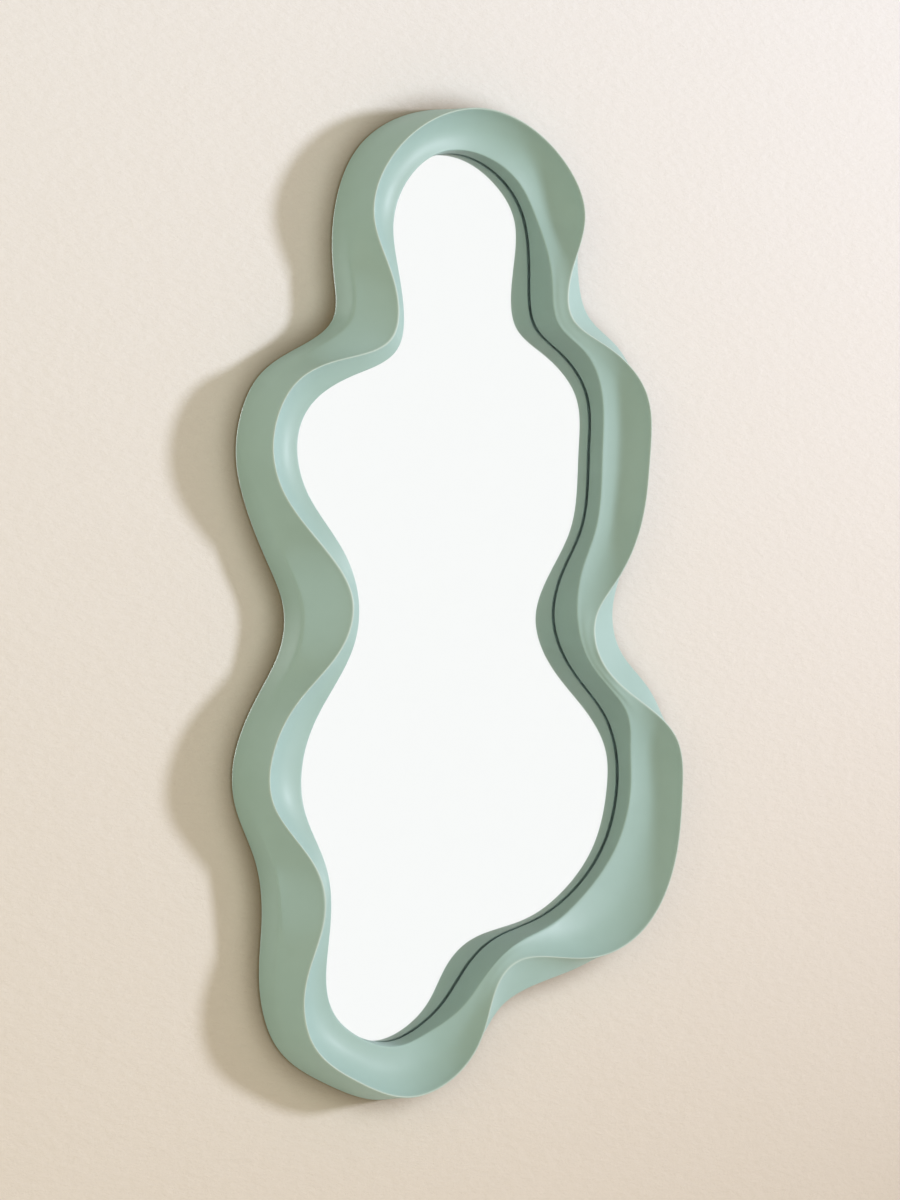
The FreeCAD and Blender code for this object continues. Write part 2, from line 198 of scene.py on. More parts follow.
def makeFramePaint():
    material, tree, shader = newMaterial("satinSagePaint")
    place = objectCoordinates(tree)
    cloud = addCloud(tree, place, *framePaint["cloud"])
    low = addMix(tree, addRange(tree, cloud, 0.35, 0.5, 0, 1), framePaint["darker"], framePaint["color"])
    color = addMix(tree, addRange(tree, cloud, 0.5, 0.68, 0, 1), low, framePaint["paler"])
    # painted highlight: a thin paler line along the crest, where the light catches it
    crest = addNode(tree, "ShaderNodeAttribute", attribute_name="crest").outputs["Fac"]
    paintedHighlight = addMath(tree, "MULTIPLY", crest, addRange(tree, cloud, 0.35, 0.6, 0.7, 1))
    paintedHighlight = addMath(tree, "MULTIPLY", paintedHighlight, framePaint["crestHighlightShare"])
    color = addMix(tree, paintedHighlight, color, framePaint["crestHighlightColor"])
    tree.links.new(color, shader.inputs["Base Color"])
    sheen = addNoise(tree, place, framePaint["sheenScale"], 4)
    smooth = framePaint["roughness"] - framePaint["roughnessFall"]
    rough = framePaint["roughness"] + framePaint["roughnessRise"]
    tree.links.new(addRange(tree, sheen, 0.3, 0.7, smooth, rough), shader.inputs["Roughness"])
    shader.inputs["Specular IOR Level"].default_value = framePaint["specular"]
    shader.inputs["Coat Weight"].default_value = framePaint["coat"]
    shader.inputs["Coat Roughness"].default_value = framePaint["coatRoughness"]
    orangePeel = addNoise(tree, place, framePaint["peelScale"], 2, 0.6)
    addBump(tree, shader, orangePeel, framePaint["peelStrength"], framePaint["peelDepth"])
    return material


glassFinish = {
    "color": (0.99, 0.997, 0.993), "edgeColor": (0.80, 0.93, 0.87), "refraction": 1.52,
    "grindScale": 900, "edgeSmooth": 0.35, "edgeRough": 0.6,
}


def makeClearGlass():
    material, tree, shader = newMaterial("clearGlass")
    shader.inputs["Base Color"].default_value = (*glassFinish["color"], 1)
    shader.inputs["IOR"].default_value = glassFinish["refraction"]
    shader.inputs["Transmission Weight"].default_value = 1
    shader.inputs["Roughness"].default_value = 0.0
    return material


def makeGroundEdge():
    material, tree, shader = newMaterial("groundGlassEdge")
    grind = addNoise(tree, objectCoordinates(tree), glassFinish["grindScale"], 3, 0.6)
    shader.inputs["Base Color"].default_value = (*glassFinish["edgeColor"], 1)
    shader.inputs["IOR"].default_value = glassFinish["refraction"]
    shader.inputs["Transmission Weight"].default_value = 1
    ground = addRange(tree, grind, 0.3, 0.7, glassFinish["edgeSmooth"], glassFinish["edgeRough"])
    tree.links.new(ground, shader.inputs["Roughness"])
    return material


silverFinish = {
    "silver": (0.975, 0.98, 0.98),
    "paint": (0.20, 0.215, 0.225), "paintPaler": (0.27, 0.28, 0.285), "paintRoughness": 0.6,
    "cloud": (14, 200, 0.4),
}


def makeSilver():
    # silver towards the glass, grey protective paint on the back and the edge
    material, tree, shader = newMaterial("silverCoat")
    geometry = addNode(tree, "ShaderNodeNewGeometry")
    parts = addNode(tree, "ShaderNodeSeparateXYZ")
    tree.links.new(geometry.outputs["Normal"], parts.inputs["Vector"])
    front = addRange(tree, parts.outputs["Y"], -0.5, -0.9, 0, 1)
    cloud = addCloud(tree, objectCoordinates(tree), *silverFinish["cloud"])
    backPaint = addMix(tree, cloud, silverFinish["paint"], silverFinish["paintPaler"])
    tree.links.new(addMix(tree, front, backPaint, silverFinish["silver"]), shader.inputs["Base Color"])
    tree.links.new(front, shader.inputs["Metallic"])
    roughness = addRange(tree, front, 0, 1, silverFinish["paintRoughness"], 0.0)
    tree.links.new(roughness, shader.inputs["Roughness"])
    return material


boardFinish = {
    "color": (0.30, 0.190, 0.105), "paler": (0.40, 0.270, 0.160),
    "fibre": (0.52, 0.38, 0.25), "fibreShare": 0.8, "pit": (0.17, 0.10, 0.055), "pitShare": 0.7,
    "cloud": (9, 700, 0.5), "fibreScale": 900, "fibreStretch": (1, 1, 0.35), "fibreTurn": (0, 0.5, 0),
    "smooth": 0.7, "rough": 0.85, "bumpStrength": 0.5, "bumpDepth": 0.0001,
}


def makeBoard():
    s = boardFinish
    material, tree, shader = newMaterial("fibreBoard")
    cloud = addCloud(tree, objectCoordinates(tree), *s["cloud"])
    along = objectCoordinates(tree, s["fibreStretch"], s["fibreTurn"])
    fibres = addNoise(tree, along, s["fibreScale"], 6, 0.7)
    base = addMix(tree, addRange(tree, cloud, 0.3, 0.7, 0, 1), s["color"], s["paler"])
    color = addMix(tree, addRange(tree, fibres, 0.52, 0.72, 0, s["fibreShare"]), base, s["fibre"])
    color = addMix(tree, addRange(tree, fibres, 0.42, 0.28, 0, s["pitShare"]), color, s["pit"])
    tree.links.new(color, shader.inputs["Base Color"])
    tree.links.new(addRange(tree, cloud, 0.3, 0.7, s["smooth"], s["rough"]), shader.inputs["Roughness"])
    addBump(tree, shader, fibres, s["bumpStrength"], s["bumpDepth"])
    return material


metals = {
    "zincPlatedScrew": {
        "color": (0.76, 0.70, 0.52), "darker": (0.60, 0.56, 0.44),
        "roughness": 0.28, "scratchTurn": (0, 0, 0),
    },
    "nickelPlatedStrap": {
        "color": (0.74, 0.73, 0.71), "darker": (0.58, 0.57, 0.55),
        "roughness": 0.30, "scratchTurn": (0.4, 0, 0),
    },
    "nickelPlatedRing": {
        "color": (0.80, 0.79, 0.77), "darker": (0.66, 0.65, 0.63),
        "roughness": 0.20, "scratchTurn": (0, 1.2, 0),
    },
}
metalWear = {
    "cloud": (60, 500, 0.4), "scratchStretch": (40, 40, 2000), "scratchScale": 4,
    "roughnessFall": 0.06, "roughnessRise": 0.10, "scratchStrength": 0.2, "scratchDepth": 0.00001,
}


def makeMetal(name):
    metal = metals[name]
    material, tree, shader = newMaterial(name)
    cloud = addCloud(tree, objectCoordinates(tree), *metalWear["cloud"])
    tarnish = addRange(tree, cloud, 0.35, 0.7, 0, 1)
    tree.links.new(addMix(tree, tarnish, metal["darker"], metal["color"]), shader.inputs["Base Color"])
    along = objectCoordinates(tree, metalWear["scratchStretch"], metal["scratchTurn"])
    scratches = addNoise(tree, along, metalWear["scratchScale"], 4, 0.7)
    smooth = metal["roughness"] - metalWear["roughnessFall"]
    rough = metal["roughness"] + metalWear["roughnessRise"]
    tree.links.new(addRange(tree, scratches, 0.3, 0.7, smooth, rough), shader.inputs["Roughness"])
    shader.inputs["Metallic"].default_value = 1
    addBump(tree, shader, scratches, metalWear["scratchStrength"], metalWear["scratchDepth"])
    return material


feltFinish = {
    "darker": (0.10, 0.098, 0.095), "paler": (0.22, 0.215, 0.21), "cloud": (300, 2600, 0.6),
    "roughness": 0.95, "sheen": 0.3, "fibreScale": 3000, "fibreStrength": 0.8, "fibreDepth": 0.0002,
}


def makeFelt():
    s = feltFinish
    material, tree, shader = newMaterial("greyFelt")
    place = objectCoordinates(tree)
    mottle = addRange(tree, addCloud(tree, place, *s["cloud"]), 0.35, 0.65, 0, 1)
    tree.links.new(addMix(tree, mottle, s["darker"], s["paler"]), shader.inputs["Base Color"])
    shader.inputs["Roughness"].default_value = s["roughness"]
    shader.inputs["Sheen Weight"].default_value = s["sheen"]
    fibres = addNoise(tree, place, s["fibreScale"], 4, 0.7)
    addBump(tree, shader, fibres, s["fibreStrength"], s["fibreDepth"])
    return material


foamFinish = {
    "cellWall": (0.82, 0.81, 0.77), "cellMiddle": (0.60, 0.59, 0.55), "cellScale": 1800,
    "roughness": 0.85, "cellStrength": 0.6, "cellDepth": 0.0002,
}


def makeFoam():
    s = foamFinish
    material, tree, shader = newMaterial("whiteFoam")
    cells = addNode(tree, "ShaderNodeTexVoronoi")
    cells.inputs["Scale"].default_value = s["cellScale"]
    tree.links.new(objectCoordinates(tree), cells.inputs["Vector"])
    fromMiddle = addRange(tree, cells.outputs["Distance"], 0, 0.7, 0, 1)
    tree.links.new(addMix(tree, fromMiddle, s["cellMiddle"], s["cellWall"]), shader.inputs["Base Color"])
    shader.inputs["Roughness"].default_value = s["roughness"]
    addBump(tree, shader, cells.outputs["Distance"], s["cellStrength"], s["cellDepth"])
    return material


paint = makeFramePaint()
clearGlass = makeClearGlass()
groundEdge = makeGroundEdge()
silver = makeSilver()
board = makeBoard()
zinc = makeMetal("zincPlatedScrew")
strapSteel = makeMetal("nickelPlatedStrap")
ringSteel = makeMetal("nickelPlatedRing")
felt = makeFelt()
foam = makeFoam()
print("materials made")


# Mesh helpers

def gridMesh(name, loops, closed):
    # loops of equal length, joined in order by quads; closed joins the last to the first
    count = len(loops[0])
    mesh = bpy.data.meshes.new(name)
    faces = []
    last = len(loops) if closed else len(loops) - 1
    for row in range(last):
        here, there = row * count, (row + 1) % len(loops) * count
        for k in range(count):
            n = (k + 1) % count
            faces.append((here + k, there + k, there + n, here + n))
    mesh.from_pydata([tuple(p) for loop in loops for p in loop], [], faces)
    return mesh


def fixNormals(mesh):
    work = bmesh.new()
    work.from_mesh(mesh)
    bmesh.ops.recalc_face_normals(work, faces=work.faces)
    work.to_mesh(mesh)
    work.free()


def shadeSmooth(mesh, angle):
    mesh.polygons.foreach_set("use_smooth", [True] * len(mesh.polygons))
    mesh.set_sharp_from_angle(angle=math.radians(angle))


def addObject(name, mesh):
    obj = bpy.data.objects.new(name, mesh)
    bpy.context.scene.collection.objects.link(obj)
    return obj


def applyModifiers(obj):
    depsgraph = bpy.context.evaluated_depsgraph_get()
    mesh = bpy.data.meshes.new_from_object(obj.evaluated_get(depsgraph))
    old = obj.data
    obj.modifiers.clear()
    obj.data = mesh
    bpy.data.meshes.remove(old)


def plateFromLoops(name, loops):
    # an even plate: loops from the front outline to the back one, closed by a face at each end
    mesh = gridMesh(name, loops, False)
    work = bmesh.new()
    work.from_mesh(mesh)
    work.verts.ensure_lookup_table()
    count = len(loops[0])
    work.faces.new([work.verts[k] for k in range(count)])
    first = (len(loops) - 1) * count
    work.faces.new([work.verts[first + k] for k in reversed(range(count))])
    bmesh.ops.recalc_face_normals(work, faces=work.faces)
    work.to_mesh(mesh)
    work.free()
    return mesh


def cutAway(obj, cutter, withSelf=False):
    # takes the cutter's form out of the piece, and removes the cutter
    cut = obj.modifiers.new("cut", "BOOLEAN")
    cut.operation = "DIFFERENCE"
    cut.solver = "EXACT"
    cut.use_self = withSelf
    cut.object = cutter
    applyModifiers(obj)
    bpy.data.objects.remove(cutter)


# The moulded frame: the same outline, crest and sections as the solid, as one fine closed mesh

frameSizes = {
    "overallWidth": 0.394, "overallHeight": 0.758, "frameDepth": 0.0405,
    "crestFlat": 0.0014, "lipLand": 0.001, "backRound": 0.0025, "lipRound": 0.0004,
    "padThickness": 0.0015, "glassSeat": 0.0095, "glassThickness": 0.003, "coatThickness": 0.0002,
    "tapeThickness": 0.0008,
    "glassOverlap": 0.005, "boardOverlap": 0.0125, "edgeClearance": 0.001,
    "hangerXShare": 0.2335, "recessDepth": 0.007, "recessWidth": 0.0176, "recessCorner": 0.005,
    "recessMargin": 0.002, "recessOverrun": 0.002, "cornerSteps": 8,
    "strapLength": 0.026, "hingeDrop": 0.0127, "hookRoom": 0.0113,
    "middleXShare": 0.0133, "middleZShare": -0.372,
    "lobeCrestShare": 0.18, "waistCrestShare": 0.56, "crestLiftShare": 1.003,
    "ringSteps": 640, "sectionSteps": 96, "seatGap": 0.00005, "sharpAngle": 38,
}

# wall outline x and z, lip x and z, each as a share from the middle, and the crest's share of the way
stationShares = (
    (-0.005, 0.499, -0.009, 0.452, 0.13), (0.172, 0.466, 0.098, 0.428, 0.15),
    (0.252, 0.399, 0.148, 0.386, 0.16), (0.253, 0.338, 0.157, 0.330, 0.53),
    (0.277, 0.295, 0.169, 0.285, 0.66), (0.354, 0.265, 0.235, 0.256, 0.50),
    (0.411, 0.220, 0.296, 0.217, 0.24), (0.417, 0.152, 0.303, 0.156, 0.18),
    (0.398, 0.081, 0.286, 0.077, 0.21), (0.365, 0.021, 0.232, 0.022, 0.38),
    (0.337, -0.011, 0.216, -0.017, 0.60), (0.354, -0.049, 0.247, -0.062, 0.76),
    (0.431, -0.095, 0.336, -0.116, 0.56), (0.490, -0.143, 0.369, -0.155, 0.22),
    (0.499, -0.202, 0.373, -0.197, 0.17), (0.477, -0.279, 0.339, -0.257, 0.14),
    (0.405, -0.346, 0.260, -0.304, 0.14), (0.282, -0.383, 0.164, -0.331, 0.30),
    (0.153, -0.395, 0.065, -0.348, 0.69), (0.066, -0.414, 0.006, -0.373, 0.65),
    (0.018, -0.452, -0.044, -0.405, 0.39), (-0.063, -0.484, -0.110, -0.430, 0.18),
    (-0.165, -0.500, -0.171, -0.440, 0.17), (-0.297, -0.479, -0.250, -0.430, 0.20),
    (-0.409, -0.436, -0.313, -0.403, 0.24), (-0.444, -0.382, -0.335, -0.371, 0.37),
    (-0.440, -0.312, -0.338, -0.315, 0.74), (-0.455, -0.252, -0.346, -0.258, 0.66),
    (-0.497, -0.198, -0.378, -0.203, 0.26), (-0.498, -0.151, -0.379, -0.155, 0.21),
    (-0.450, -0.094, -0.338, -0.102, 0.31), (-0.398, -0.043, -0.284, -0.042, 0.69),
    (-0.394, -0.006, -0.277, 0.001, 0.80), (-0.426, 0.035, -0.305, 0.047, 0.64),
    (-0.481, 0.102, -0.378, 0.109, 0.31), (-0.494, 0.155, -0.392, 0.158, 0.24),
    (-0.455, 0.213, -0.352, 0.196, 0.30), (-0.371, 0.246, -0.272, 0.220, 0.47),
    (-0.287, 0.277, -0.186, 0.250, 0.72), (-0.282, 0.317, -0.182, 0.307, 0.75),
    (-0.285, 0.373, -0.186, 0.370, 0.33), (-0.229, 0.451, -0.140, 0.424, 0.30),
)

# two master sections: along as a share of the way to or from the crest, up as a share of the height
sectionShares = {
    "outerLobe": ((0.0, 0.0), (0.04, 0.06), (0.24, 0.23), (0.36, 0.34), (0.48, 0.445), (0.67, 0.62),
                  (0.94, 0.91)),
    "outerWaist": ((0.0, 0.0), (0.01, 0.06), (0.044, 0.43), (0.057, 0.58), (0.085, 0.625), (0.20, 0.665),
                   (0.95, 0.965)),
    "innerLobe": ((0.05, 0.90), (0.22, 0.70), (0.48, 0.51), (0.82, 0.46), (0.935, 0.46), (0.962, 0.445),
                  (0.970, 0.36), (1.0, 0.0)),
    "innerWaist": ((0.06, 0.99), (0.25, 0.95), (0.48, 0.92), (0.68, 0.88), (0.81, 0.87), (0.865, 0.85),
                   (0.878, 0.74), (1.0, 0.0)),
}


def blend(low, high, share):
    return low + (high - low) * share


def stationPoint(xShare, zShare):
    s = frameSizes
    x = s["overallWidth"] * (s["middleXShare"] + xShare)
    z = s["overallHeight"] * (s["middleZShare"] + zShare)
    return np.array((x, 0.0, z))


def sectionPoles(row):
    s = frameSizes
    wall, lip, crest = stationPoint(row[0], row[1]), stationPoint(row[2], row[3]), row[4]
    reach = np.linalg.norm(lip - wall)
    halfFlat = s["crestFlat"] / 2 / reach
    lipEdge = s["glassSeat"] + s["lipLand"]
    pinch = min(1.0, (crest - s["lobeCrestShare"]) / (s["waistCrestShare"] - s["lobeCrestShare"]))
    places = [(s["backRound"] / reach, 0)]
    for lobe, waist in zip(sectionShares["outerLobe"], sectionShares["outerWaist"]):
        along = blend(lobe[0], waist[0], pinch) * (crest - halfFlat)
        places.append((along, blend(lobe[1], waist[1], pinch) * s["frameDepth"]))
    for along in (crest - halfFlat, crest + halfFlat):
        places.append((along, s["crestLiftShare"] * s["frameDepth"]))
    start = crest + halfFlat
    for lobe, waist in zip(sectionShares["innerLobe"], sectionShares["innerWaist"]):
        along = start + (1 - start) * blend(lobe[0], waist[0], pinch)
        places.append((along, lipEdge + blend(lobe[1], waist[1], pinch) * (s["frameDepth"] - lipEdge)))
    return [wall + (lip - wall) * along - np.array((0, height + s["padThickness"], 0))
            for along, height in places]


def smoothLoop(points, stops, samples):
    # periodic cubic spline through the points, and its slope, at the samples
    count = len(points)
    gaps = np.diff(stops)
    flat = points.reshape(count, -1)
    after = np.roll(flat, -1, axis=0)
    slopes = (after - flat) / gaps[:, None]
    before = np.roll(gaps, 1)
    system = np.zeros((count, count))
    for k in range(count):
        system[k, k - 1] += before[k]
        system[k, k] += 2 * (before[k] + gaps[k])
        system[k, (k + 1) % count] += gaps[k]
    bends = np.linalg.solve(system, 6 * (slopes - np.roll(slopes, 1, axis=0)))
    where = np.clip(np.searchsorted(stops, samples, side="right") - 1, 0, count - 1)
    step = gaps[where][:, None]
    right = (samples - stops[where])[:, None]
    left = step - right
    bendHere, bendNext = bends[where], np.roll(bends, -1, axis=0)[where]
    valueHere, valueNext = flat[where], after[where]
    value = (bendHere * left ** 3 + bendNext * right ** 3) / (6 * step)
    value += (valueHere / step - bendHere * step / 6) * left
    value += (valueNext / step - bendNext * step / 6) * right
    slope = (bendNext * right ** 2 - bendHere * left ** 2) / (2 * step)
    slope += (valueNext - valueHere) / step - (bendNext - bendHere) * step / 6
    shape = (len(samples),) + points.shape[1:]
    return value.reshape(shape), slope.reshape(shape)


def sectionBasis(poleCount, steps):
    # weights of a clamped cubic B-spline's poles at even parameters
    degree = 3
    knots = np.concatenate(([0.0] * degree, np.linspace(0, 1, poleCount - degree + 1), [1.0] * degree))
    at = np.linspace(0, 1, steps + 1)
    basis = [np.where((at >= low) & ((at < high) | ((high == 1) & (at == 1))), 1.0, 0.0)
             for low, high in zip(knots[:-1], knots[1:])]
    for order in range(1, degree + 1):
        nextBasis = []
        for k in range(len(basis) - 1):
            left = knots[k + order] - knots[k]
            right = knots[k + order + 1] - knots[k + 1]
            value = np.zeros_like(at)
            if left > 0:
                value = value + (at - knots[k]) / left * basis[k]
            if right > 0:
                value = value + (knots[k + order + 1] - at) / right * basis[k + 1]
            nextBasis.append(value)
        basis = nextBasis
    return np.array(basis).T


def ringCurves():
    # the rails at even steps round the ring, and the lip's outward direction there
    poles = np.array([sectionPoles(row) for row in stationShares])
    middles = (poles[:, 1] + poles[:, -1]) / 2
    middles[:, 1] = 0
    lengths = np.linalg.norm(np.roll(middles, -1, axis=0) - middles, axis=1)
    stops = np.concatenate(([0.0], np.cumsum(lengths)))
    samples = np.linspace(0, stops[-1], frameSizes["ringSteps"], endpoint=False)
    rails, slopes = smoothLoop(poles, stops, samples)
    along = slopes[:, -1]
    outward = np.stack((-along[:, 2], np.zeros(len(along)), along[:, 0]), axis=1)
    return rails, outward / np.linalg.norm(outward, axis=1)[:, None]


rails, outward = ringCurves()


def lipOffset(offset, y):
    line = rails[:, -1] + outward * offset
    line[:, 1] = y
    return line


def depthsFromWall():
    s = frameSizes
    depths = {"frameBack": -s["padThickness"]}
    depths["glassFront"] = depths["frameBack"] - s["glassSeat"]
    depths["coatFront"] = depths["glassFront"] + s["glassThickness"]
    depths["tapeFront"] = depths["coatFront"] + s["coatThickness"]
    depths["boardFront"] = depths["tapeFront"] + s["tapeThickness"]
    depths["recessFloor"] = depths["frameBack"] - s["recessDepth"]
    return depths


depths = depthsFromWall()


def recessCutter():
    # two round cornered pockets for the hangers
    s = frameSizes
    low = -s["hingeDrop"] - s["strapLength"] - s["recessMargin"]
    high = s["hookRoom"]
    corner = s["recessCorner"]
    work = bmesh.new()
    for side in (-1, 1):
        middle = side * s["overallWidth"] * s["hangerXShare"]
        outline = []
        for cx, cz, start in ((1, 1, 0), (-1, 1, 90), (-1, -1, 180), (1, -1, 270)):
            for step in range(s["cornerSteps"] + 1):
                angle = math.radians(start + step * 90 / s["cornerSteps"])
                x = middle + cx * (s["recessWidth"] / 2 - corner) + corner * math.cos(angle)
                z = (high - corner if cz > 0 else low + corner) + corner * math.sin(angle)
                outline.append((x, z))
        ends = (depths["recessFloor"], s["recessOverrun"])
        rings = [[work.verts.new((x, y, z)) for x, z in outline] for y in ends]
        work.faces.new(rings[0])
        work.faces.new(list(reversed(rings[1])))
        for k in range(len(outline)):
            n = (k + 1) % len(outline)
            work.faces.new((rings[0][k], rings[1][k], rings[1][n], rings[0][n]))
    bmesh.ops.recalc_face_normals(work, faces=work.faces)
    mesh = bpy.data.meshes.new("recessCutter")
    work.to_mesh(mesh)
    work.free()
    return addObject("recessCutter", mesh)


def markCrestHighlight(mesh, skin, loopCount):
    # mask of the painted crest highlight: 1 along the top of the crest, fading to 0 beside it
    top = skin[:, :, 1].argmin(axis=0)
    ridge = skin[top, np.arange(skin.shape[1])]
    away = np.linalg.norm(skin - ridge[None], axis=2) / framePaint["crestHighlightWidth"]
    values = np.zeros((loopCount, skin.shape[1]))
    values[:len(skin)] = np.exp(-away ** 2)
    mesh.attributes.new("crest", "FLOAT", "POINT").data.foreach_set("value", values.ravel())


def addFrameShell():
    s = frameSizes
    skin = np.einsum("vp,upc->vuc", sectionBasis(rails.shape[1], s["sectionSteps"]), rails)
    seat = depths["glassFront"] - s["seatGap"]
    glassEdge = s["glassOverlap"] + s["edgeClearance"]
    boardEdge = s["boardOverlap"] + s["edgeClearance"]
    loops = list(skin)
    loops.append(lipOffset(0, seat - s["lipRound"]))
    loops.append(lipOffset(s["lipRound"], seat))
    loops += [lipOffset(glassEdge, seat), lipOffset(glassEdge, depths["boardFront"])]
    loops += [lipOffset(boardEdge, depths["boardFront"]), lipOffset(boardEdge, depths["frameBack"])]
    mesh = gridMesh("frameShell", loops, True)
    markCrestHighlight(mesh, skin, len(loops))
    fixNormals(mesh)
    obj = addObject("frameShell", mesh)
    cutAway(obj, recessCutter())
    shadeSmooth(obj.data, s["sharpAngle"])
    obj.data.materials.clear()
    obj.data.materials.append(paint)
    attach(obj, "mirror")
    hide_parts("frame")
    return obj


frameShell = addFrameShell()
print("frame made:", len(frameShell.data.polygons), "faces")


# Glass with its arrissed and ground edge, and the silvering behind it

sheetSizes = {"arris": 0.0006, "coatGap": 0.00003, "facing": 0.9}


def addGlass():
    edge = frameSizes["glassOverlap"]
    arris = sheetSizes["arris"]
    front, back = depths["glassFront"], depths["coatFront"] - sheetSizes["coatGap"]
    loops = [lipOffset(edge - arris, front), lipOffset(edge, front + arris),
             lipOffset(edge, back - arris), lipOffset(edge - arris, back)]
    mesh = plateFromLoops("glassSheet", loops)
    mesh.materials.append(clearGlass)
    mesh.materials.append(groundEdge)
    for face in mesh.polygons:
        face.material_index = 0 if abs(face.normal.y) > sheetSizes["facing"] else 1
    obj = addObject("glassSheet", mesh)
    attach(obj, "mirror")
    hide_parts("mirror_glass")
    return obj


def addSilverCoat():
    edge = frameSizes["glassOverlap"] - sheetSizes["arris"]
    loops = [lipOffset(edge, depths["coatFront"]), lipOffset(edge, depths["tapeFront"])]
    mesh = plateFromLoops("silverCoating", loops)
    mesh.materials.append(silver)
    obj = addObject("silverCoating", mesh)
    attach(obj, "mirror")
    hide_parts("silver_coat")
    return obj


addGlass()
addSilverCoat()
print("glass and silvering made")


# Screws: one detailed pattern, set out by a Geometry Nodes tree

screwSizes = {
    "shankRadius": 0.0015, "rootRadius": 0.00115, "pitch": 0.0011, "threadEnd": 0.0006,
    "threadTopShare": 0.35, "threadFootShare": 0.7,
    "tipRadius": 0.0001, "tipLength": 0.002, "neckShare": 0.95, "neckLength": 0.0002,
    "headRadius": 0.0028, "headFootShare": 0.97, "headHeight": 0.0016, "headTopShare": 0.2,
    "domeSteps": 6, "domeTurn": 80, "domeBulge": 0.6, "domeFootShare": 0.25,
    "slotHalf": 0.00028, "slotReach": 0.0013, "slotDepth": 0.0009, "slotTopShare": 1.2,
    "slotFootShare": 0.55,
    "sides": 24, "sharpAngle": 35,
}


def screwPattern(name, length):
    # head towards +Y from the origin, tip towards -Y, turned from a profile and cut with a cross
    s = screwSizes
    y = -length + s["tipLength"]
    profile = [(s["tipRadius"], -length), (s["rootRadius"], y)]
    while y < -s["threadEnd"]:
        profile += [(s["rootRadius"], y), (s["shankRadius"], y + s["pitch"] * s["threadTopShare"]),
                    (s["rootRadius"], y + s["pitch"] * s["threadFootShare"])]
        y += s["pitch"]
    neck = s["shankRadius"] * s["neckShare"]
    profile += [(neck, -s["neckLength"]), (neck, 0), (s["headRadius"] * s["headFootShare"], 0)]
    for step in range(s["domeSteps"] + 1):
        angle = math.radians(step * s["domeTurn"] / s["domeSteps"])
        rise = s["domeFootShare"] + (1 - s["domeFootShare"]) * math.sin(angle)
        profile.append((s["headRadius"] * math.cos(angle) ** s["domeBulge"], s["headHeight"] * rise))
    turns = [math.tau * k / s["sides"] for k in range(s["sides"])]
    loops = [[(radius * math.cos(turn), height, radius * math.sin(turn)) for turn in turns]
             for radius, height in profile]
    obj = addObject(name, plateFromLoops(name, loops))
    # the cross, narrower at its foot
    cutterMesh = bpy.data.meshes.new("crossCutter")
    work = bmesh.new()
    top, low = s["headHeight"] * s["slotTopShare"], s["headHeight"] - s["slotDepth"]
    for turn in (0, math.pi / 2):
        box = bmesh.ops.create_cube(work, size=1)["verts"]
        size = Vector((s["slotReach"] * 2, top - low, s["slotHalf"] * 2))
        for vert in box:
            vert.co = Vector(a * b for a, b in zip(vert.co, size)) + Vector((0, (top + low) / 2, 0))
            if vert.co.y < (top + low) / 2:
                vert.co.x *= s["slotFootShare"]
        bmesh.ops.rotate(work, verts=box, cent=(0, 0, 0), matrix=Matrix.Rotation(turn, 3, "Y"))
    work.to_mesh(cutterMesh)
    work.free()
    cutAway(obj, addObject("crossCutter", cutterMesh), withSelf=True)
    shadeSmooth(obj.data, s["sharpAngle"])
    return obj


def makeScatterTree():
    # instances of a pattern on each point, each turned about its own axis by a seeded angle
    tree = bpy.data.node_groups.new("setScrews", "GeometryNodeTree")
    tree.interface.new_socket(name="Geometry", in_out="INPUT", socket_type="NodeSocketGeometry")
    tree.interface.new_socket(name="Pattern", in_out="INPUT", socket_type="NodeSocketObject")
    scale = tree.interface.new_socket(name="Scale", in_out="INPUT", socket_type="NodeSocketFloat")
    scale.default_value = 1
    seed = tree.interface.new_socket(name="Seed", in_out="INPUT", socket_type="NodeSocketInt")
    seed.default_value = 3
    tree.interface.new_socket(name="Material", in_out="INPUT", socket_type="NodeSocketMaterial")
    tree.interface.new_socket(name="Geometry", in_out="OUTPUT", socket_type="NodeSocketGeometry")
    start = addNode(tree, "NodeGroupInput")
    end = addNode(tree, "NodeGroupOutput")
    info = addNode(tree, "GeometryNodeObjectInfo")
    toPoints = addNode(tree, "GeometryNodeMeshToPoints")
    turn = addNode(tree, "FunctionNodeRandomValue", data_type="FLOAT")
    turn.inputs["Max"].default_value = math.pi / 2
    axis = addNode(tree, "ShaderNodeCombineXYZ")
    place = addNode(tree, "GeometryNodeInstanceOnPoints")
    real = addNode(tree, "GeometryNodeRealizeInstances")
    finish = addNode(tree, "GeometryNodeSetMaterial")
    link = tree.links.new
    link(start.outputs["Geometry"], toPoints.inputs["Mesh"])
    link(start.outputs["Pattern"], info.inputs["Object"])
    link(start.outputs["Seed"], turn.inputs["Seed"])
    link(next(s for s in turn.outputs if s.type == "VALUE"), axis.inputs["Y"])
    link(toPoints.outputs["Points"], place.inputs["Points"])
    link(info.outputs["Geometry"], place.inputs["Instance"])
    link(axis.outputs["Vector"], place.inputs["Rotation"])
    link(start.outputs["Scale"], place.inputs["Scale"])
    link(place.outputs["Instances"], real.inputs["Geometry"])
    link(real.outputs["Geometry"], finish.inputs["Geometry"])
    link(start.outputs["Material"], finish.inputs["Material"])
    link(finish.outputs["Geometry"], end.inputs["Geometry"])
    return tree


scatterTree = makeScatterTree()


